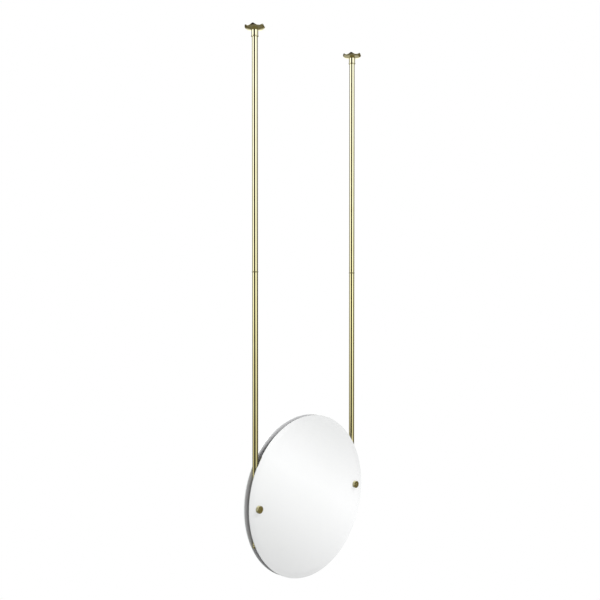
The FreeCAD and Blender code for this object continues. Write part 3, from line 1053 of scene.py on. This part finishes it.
def studioBand(tree, degrees, band):
    # The darker a tone, the nearer it is to the warm tint
    dark, pale = np.array(studio["darkTint"]), np.array(band["tint"])
    stops = [(at, tone * (dark + (pale - dark) * min(tone / studio["paleFrom"], 1)))
             for at, tone in band["tones"]]
    return toneRamp(tree, degrees, stops, -180, 180)


def shareRound(tree, degrees, shares):
    # A plain share by angle, to multiply with
    stops = [(at, (share * studio["brightest"],) * 3) for at, share in shares]
    return toneRamp(tree, degrees, stops, -180, 180)


def mirrorView(tree, place, up, degrees):
    # Directions beyond the face's own view are drawn in towards its edge
    make = mirrorRoom
    across, upward = [maths(tree, "SUBTRACT", vectorMaths(tree, "DOT_PRODUCT", place, make[axis]),
                            make[axis + "Middle"]) for axis in ("across", "upward")]
    flat = addNode(tree, "ShaderNodeCombineXYZ", {"X": across, "Y": upward}).outputs[0]
    far = maths(tree, "MAXIMUM", vectorMaths(tree, "LENGTH", flat), 1.0)
    drawn = maths(tree, "ADD", maths(tree, "DIVIDE", 1 - make["beyond"], far), make["beyond"])
    slant = vectorMaths(tree, "DOT_PRODUCT", scaled(tree, flat, drawn), make["slant"])
    slant = maths(tree, "ADD", slant, make["slantMiddle"])
    tones = [(at, (tone,) * 3) for at, tone in make["tones"]]
    room = toneRamp(tree, slant, tones, -make["reach"], make["reach"])
    room = vectorMaths(tree, "MULTIPLY", room, shareRound(tree, degrees, make["sides"]))
    above = spread(tree, up, make["floorFrom"], make["floorTo"], make["floorShade"], 1.0)
    above = vectorMaths(tree, "MAXIMUM", above, shareRound(tree, degrees, make["floorSides"]))
    shade = vectorMaths(tree, "MULTIPLY", shareRound(tree, degrees, make["gap"]), above)
    depth = addNode(tree, "ShaderNodeLightPath").outputs["Ray Depth"]
    byBrass = spread(tree, depth, 1, 2, 0.0, 1.0)  # a ray that met brass before is a step deeper
    return vectorMaths(tree, "MULTIPLY", room, mixColour(tree, byBrass, (1, 1, 1), shade))


def studioWorld():
    # The camera sees plain white. Brass sees soft boxes with a dark gap beside the camera, a dark floor and
    # a dark ceiling. A mirror sees the white room. All else gets soft light that leans to the left.
    world = bpy.data.worlds.new("studio")
    bpy.context.scene.world = world
    world.use_nodes = True
    world.cycles.sampling_method = "NONE"
    tree = world.node_tree
    tree.nodes.clear()
    output = addNode(tree, "ShaderNodeOutputWorld")
    place = addNode(tree, "ShaderNodeTexCoord").outputs["Generated"]
    up = addNode(tree, "ShaderNodeSeparateXYZ", {"Vector": place}).outputs["Z"]
    ahead = -math.radians(studio["cameraAngle"])
    spin = addNode(tree, "ShaderNodeVectorRotate", {"Vector": place, "Angle": ahead}, rotation_type="Z_AXIS")
    spun = addNode(tree, "ShaderNodeSeparateXYZ", {"Vector": spin.outputs[0]}).outputs
    degrees = maths(tree, "DEGREES", maths(tree, "ARCTAN2", spun["Y"], spun["X"]))
    boxes = studioBand(tree, degrees, studio["low"])
    for below, band in (("low", "level"), ("level", "high")):
        share = spread(tree, up, studio[below]["up"], studio[band]["up"], 0.0, 1.0)
        boxes = mixColour(tree, share, boxes, studioBand(tree, degrees, studio[band]))
    for end, share in (("floor", (1.0, 0.0)), ("ceiling", (0.0, 1.0))):
        reached = spread(tree, up, studio[end + "From"], studio[end + "To"], *share)
        tone = tuple(value / studio["brightest"] for value in studio[end + "Tone"])
        boxes = mixColour(tree, reached, boxes, tone)
    room = mirrorView(tree, place, up, degrees)
    lean = vectorMaths(tree, "DOT_PRODUCT", place, roomMake["softLean"])
    soft = spread(tree, lean, *roomMake["softSpan"], *roomMake["softTone"])
    shades = background(tree, soft, roomMake["softLight"])
    path = addNode(tree, "ShaderNodeLightPath").outputs
    for ray, seen in (("Is Glossy Ray", background(tree, boxes, studio["brightest"])),
                      ("Is Singular Ray", background(tree, room, studio["brightest"])),
                      ("Is Transmission Ray", background(tree, (1, 1, 1), 1.0)),
                      ("Is Camera Ray", background(tree, (1, 1, 1), 1.0))):
        shades = mixShaders(tree, path[ray], shades, seen)
    tree.links.new(shades, output.inputs["Surface"])


# The key lights everything but brass; the card is seen by brass alone, from the right flange
lamps = {
    "key": {"at": (1.5, -2.1, 1.3), "turn": (42.7, 0, 35.5), "size": (0.8, 0.8), "power": 100.0,
            "tint": (1.0, 1.0, 1.0), "sheen": False},
    "card": {"at": (0.33, 0.56, -0.2), "turn": (180, 0, -45), "size": (0.95, 0.72), "power": 0.66,
             "tint": (0.84, 0.87, 1.0), "sheen": True},
}


def softLamp(name, at, turn, size, power, tint, sheen):
    lamp = bpy.data.lights.new(name, "AREA")
    lamp.shape = "RECTANGLE"
    lamp.size, lamp.size_y = size
    lamp.energy = power
    lamp.color = tint
    stand = bpy.data.objects.new(name, lamp)
    stand.location = at
    stand.rotation_euler = [math.radians(angle) for angle in turn]
    stand.visible_camera = False
    stand.visible_glossy = sheen
    stand.visible_diffuse = not sheen
    bpy.context.scene.collection.objects.link(stand)


viewPoint = {
    "at": (-2.0894, -2.0123, -0.8291),
    "turn": -45.647,
    "tilt": -1.2303,
    "angle": 39.3826,
}


def photoCamera():
    lens = bpy.data.cameras.new("camera")
    lens.angle = math.radians(viewPoint["angle"])
    camera = bpy.data.objects.new("camera", lens)
    camera.location = viewPoint["at"]
    camera.rotation_euler = (math.radians(90 + viewPoint["tilt"]), 0, math.radians(viewPoint["turn"]))
    bpy.context.scene.collection.objects.link(camera)
    bpy.context.scene.camera = camera


paleFloor()
studioWorld()
for name, lamp in lamps.items():
    softLamp(name, **lamp)
photoCamera()
bpy.context.scene.view_settings.view_transform = "Standard"
print("room, light and camera set")
